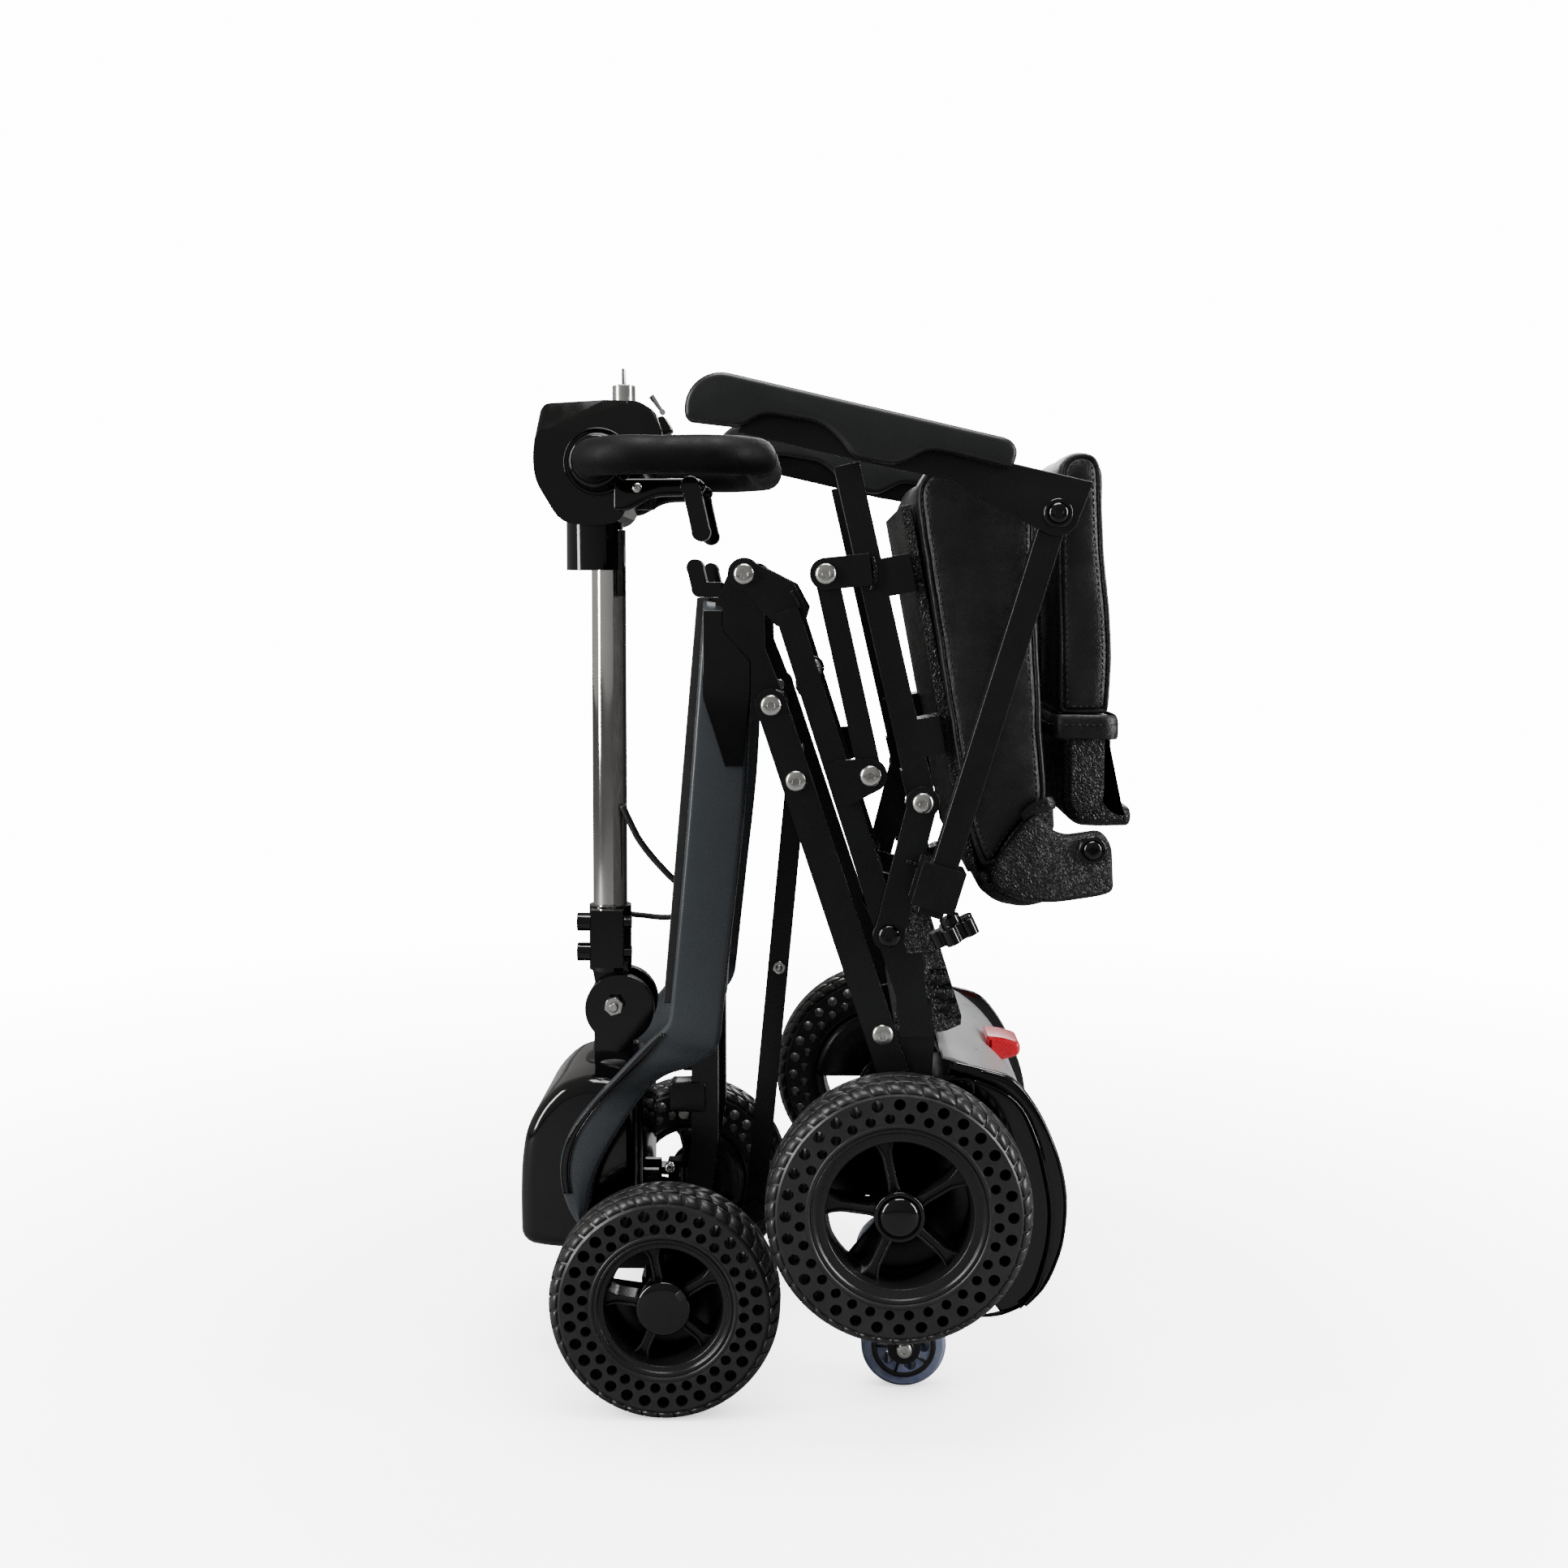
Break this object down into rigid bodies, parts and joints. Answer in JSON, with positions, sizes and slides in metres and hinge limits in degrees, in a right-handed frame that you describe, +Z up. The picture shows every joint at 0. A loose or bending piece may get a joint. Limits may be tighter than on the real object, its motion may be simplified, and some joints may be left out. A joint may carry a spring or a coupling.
{
  "type": "folding mobility scooter",
  "caption": "Folding mobility scooter, stored upright: padded steering loop on a chrome column, footboard, linkage frame, seat with flip-down back and armrests.",
  "frame": {"origin": "bottom centre of the bounding box of the folded scooter, on the floor it stands on", "axes": "+X towards the rear of the scooter, +Y towards the rider's right-hand side, +Z up"},
  "size_m": [0.4985, 0.472, 0.845],
  "materials": {
    "black_satin": "satin powder coat",
    "black_gloss": "gloss",
    "charcoal_cover": "satin",
    "deck_mat": "ribbed matt",
    "black_leather": "soft sheen",
    "foam_grip": "matt foam",
    "arm_pad": "matt",
    "grained_plastic": "pebble grain",
    "tyre_rubber": "matt",
    "rim_plastic": "satin",
    "clear_urethane": "clear blue",
    "chrome": "polished",
    "bolt_steel": "bright",
    "grey_cover": "satin",
    "red_lens": "gloss",
    "cable_sheath": "matt",
    "motor_black": "satin"
  },
  "bodies": {
    "front_frame": {"front_axle_frame": "black_satin", "front_shroud": "black_gloss"},
    "knuckle_l": {"knuckle_left": "black_satin"},
    "knuckle_r": {"knuckle_right": "black_satin"},
    "front_wheel_l": {"front_tyre_left": "tyre_rubber", "front_rim_left": "rim_plastic"},
    "front_wheel_r": {"front_tyre_right": "tyre_rubber", "front_rim_right": "rim_plastic"},
    "track_rod": {"tie_rod": "bolt_steel"},
    "steering": {"steering_shaft": "black_gloss"},
    "tiller": {"tilt_housing": "black_gloss", "column_bolts": "black_gloss"},
    "column": {"column_tube": "chrome", "column_collar": "black_gloss", "head_housing": "black_gloss", "handlebar": "foam_grip", "key_switch": "bolt_steel"},
    "key": {"ignition_key": "bolt_steel"},
    "toggle": {"toggle_lever": "chrome"},
    "dial": {"speed_dial": "rim_plastic"},
    "throttle_l": {"throttle_lever_left": "black_gloss"},
    "throttle_r": {"throttle_lever_right": "black_gloss"},
    "deck": {"deck_frame": "black_satin", "deck_board": "deck_mat", "side_cover_left": "charcoal_cover", "side_cover_right": "charcoal_cover", "deck_end_caps": "black_gloss", "fold_pins": "bolt_steel", "control_cables": "cable_sheath"},
    "links": {"lower_links": "black_satin"},
    "strut": {"fold_strut": "black_satin"},
    "rear_frame": {"main_beams": "black_satin", "rear_axle_housing": "black_satin", "drive_motor": "motor_black", "battery_box": "grained_plastic", "rear_cover": "grey_cover", "cover_flange": "black_gloss", "tail_reflector": "red_lens", "trolley_forks": "black_satin"},
    "rear_wheel_l": {"rear_tyre_left": "tyre_rubber", "rear_rim_left": "rim_plastic"},
    "rear_wheel_r": {"rear_tyre_right": "tyre_rubber", "rear_rim_right": "rim_plastic"},
    "trolley_l": {"trolley_wheel_left": "clear_urethane"},
    "trolley_r": {"trolley_wheel_right": "clear_urethane"},
    "seat_brace": {"seat_struts": "black_satin"},
    "rocker": {"rocker_links": "black_satin", "armrest_posts": "black_satin"},
    "knob_l": {"star_knob_left": "black_gloss"},
    "knob_r": {"star_knob_right": "black_gloss"},
    "arm_l": {"armrest_left": "black_satin", "armrest_pad_left": "arm_pad"},
    "arm_r": {"armrest_right": "black_satin", "armrest_pad_right": "arm_pad"},
    "seat": {"seat_frame": "black_satin", "seat_board": "grained_plastic", "seat_cushion": "black_leather", "hinge_corners": "grained_plastic"},
    "back": {"backrest_shell": "grained_plastic", "backrest_cushion": "black_leather"}
  },
  "joints": [
    {"name": "steer", "type": "hinge", "parent": "front_frame", "child": "steering", "pos_m": [-0.168, 0, 0.15], "axis": [0, 0, 1], "range_deg": [-30, 30]},
    {"name": "steer_left", "type": "hinge", "parent": "front_frame", "child": "knuckle_l", "pos_m": [-0.1124, -0.124, 0.091], "axis": [0, 0, 1], "range_deg": [-18, 18]},
    {"name": "steer_right", "type": "hinge", "parent": "front_frame", "child": "knuckle_r", "pos_m": [-0.1124, 0.124, 0.091], "axis": [0, 0, 1], "range_deg": [-18, 18]},
    {"name": "track_rod_pivot", "type": "hinge", "parent": "knuckle_l", "child": "track_rod", "pos_m": [-0.076, -0.118, 0.06], "axis": [0, 0, 1], "range_deg": [-18, 18]},
    {"name": "front_wheel_left", "type": "hinge", "parent": "knuckle_l", "child": "front_wheel_l", "pos_m": [-0.1124, -0.16, 0.091], "axis": [0, 1, 0], "continuous": true},
    {"name": "front_wheel_right", "type": "hinge", "parent": "knuckle_r", "child": "front_wheel_r", "pos_m": [-0.1124, 0.16, 0.091], "axis": [0, 1, 0], "continuous": true},
    {"name": "tiller_tilt", "type": "hinge", "parent": "steering", "child": "tiller", "pos_m": [-0.167, 0, 0.2967], "axis": [0, 1, 0], "range_deg": [-20, 0]},
    {"name": "tiller_height", "type": "slide", "parent": "tiller", "child": "column", "axis": [0, 0, 1], "range_m": [0, 0.04]},
    {"name": "key_turn", "type": "hinge", "parent": "column", "child": "key", "pos_m": [-0.158, -0.01, 0.825], "axis": [0, 0, 1], "range_deg": [0, 75]},
    {"name": "toggle_throw", "type": "hinge", "parent": "column", "child": "toggle", "pos_m": [-0.1269, 0.012, 0.8108], "axis": [0, 1, 0], "range_deg": [-25, 0]},
    {"name": "speed_dial_turn", "type": "hinge", "parent": "column", "child": "dial", "pos_m": [-0.138, -0.03, 0.73], "axis": [0, 0, 1], "range_deg": [0, 270]},
    {"name": "throttle_left", "type": "hinge", "parent": "column", "child": "throttle_l", "pos_m": [-0.097, -0.068, 0.742], "axis": [0, 1, 0], "range_deg": [-15, 15], "stiffness_Nm_per_rad": 0.6},
    {"name": "throttle_right", "type": "hinge", "parent": "column", "child": "throttle_r", "pos_m": [-0.097, 0.068, 0.742], "axis": [0, 1, 0], "range_deg": [-15, 15], "stiffness_Nm_per_rad": 0.6},
    {"name": "frame_fold", "type": "hinge", "parent": "front_frame", "child": "deck", "pos_m": [-0.1, 0, 0.094], "axis": [0, 1, 0], "range_deg": [0, 84]},
    {"name": "beam_fold", "type": "hinge", "parent": "deck", "child": "rear_frame", "pos_m": [-0.049, 0, 0.6685], "axis": [0, 1, 0], "range_deg": [-159.9, 0]},
    {"name": "link_fold", "type": "hinge", "parent": "deck", "child": "links", "pos_m": [-0.0275, 0, 0.5665], "axis": [0, 1, 0], "range_deg": [-159.3, 0]},
    {"name": "strut_fold", "type": "hinge", "parent": "front_frame", "child": "strut", "pos_m": [-0.046, 0, 0.112], "axis": [0, 1, 0], "range_deg": [0, 88.6]},
    {"name": "rocker_fold", "type": "hinge", "parent": "rear_frame", "child": "rocker", "pos_m": [0.0645, 0, 0.387], "axis": [0, 1, 0], "range_deg": [0, 75.9]},
    {"name": "seat_fold", "type": "hinge", "parent": "rocker", "child": "seat", "pos_m": [0.0905, 0, 0.491], "axis": [0, 1, 0], "range_deg": [-77, 0]},
    {"name": "brace_fold", "type": "hinge", "parent": "seat", "child": "seat_brace", "pos_m": [0.015, 0, 0.6685], "axis": [0, 1, 0], "range_deg": [0, 17]},
    {"name": "back_fold", "type": "hinge", "parent": "seat", "child": "back", "pos_m": [0.2205, 0, 0.456], "axis": [0, 1, 0], "range_deg": [0, 95]},
    {"name": "arm_left", "type": "hinge", "parent": "rocker", "child": "arm_l", "pos_m": [0.188, -0.204, 0.7135], "axis": [0, 1, 0], "range_deg": [0, 85]},
    {"name": "arm_right", "type": "hinge", "parent": "rocker", "child": "arm_r", "pos_m": [0.188, 0.204, 0.7135], "axis": [0, 1, 0], "range_deg": [0, 85]},
    {"name": "knob_left", "type": "hinge", "parent": "rocker", "child": "knob_l", "pos_m": [0.1085, -0.201, 0.4075], "axis": [0.4226, 0, -0.9063], "continuous": true},
    {"name": "rear_wheel_left", "type": "hinge", "parent": "rear_frame", "child": "rear_wheel_l", "pos_m": [0.0712, -0.205, 0.1818], "axis": [0, 1, 0], "continuous": true},
    {"name": "trolley_wheel_left", "type": "hinge", "parent": "rear_frame", "child": "trolley_l", "pos_m": [0.08, -0.103, 0.035], "axis": [0, 1, 0], "continuous": true},
    {"name": "knob_right", "type": "hinge", "parent": "rocker", "child": "knob_r", "pos_m": [0.1085, 0.201, 0.4075], "axis": [0.4226, 0, -0.9063], "continuous": true},
    {"name": "rear_wheel_right", "type": "hinge", "parent": "rear_frame", "child": "rear_wheel_r", "pos_m": [0.0712, 0.205, 0.1818], "axis": [0, 1, 0], "continuous": true},
    {"name": "trolley_wheel_right", "type": "hinge", "parent": "rear_frame", "child": "trolley_r", "pos_m": [0.08, 0.103, 0.035], "axis": [0, 1, 0], "continuous": true}
  ],
  "couplings": [
    {"joint": "steer_left", "follows": "steer", "ratio": 0.6},
    {"joint": "steer_right", "follows": "steer", "ratio": 0.6},
    {"joint": "track_rod_pivot", "follows": "steer", "ratio": -0.6},
    {"joint": "beam_fold", "follows": "frame_fold", "ratio": -1.9036},
    {"joint": "link_fold", "follows": "frame_fold", "ratio": -1.8964},
    {"joint": "strut_fold", "follows": "frame_fold", "ratio": 1.0548},
    {"joint": "rocker_fold", "follows": "frame_fold", "ratio": 0.90357},
    {"joint": "seat_fold", "follows": "frame_fold", "ratio": -0.91667},
    {"joint": "brace_fold", "follows": "frame_fold", "ratio": 0.20238}
  ]
}
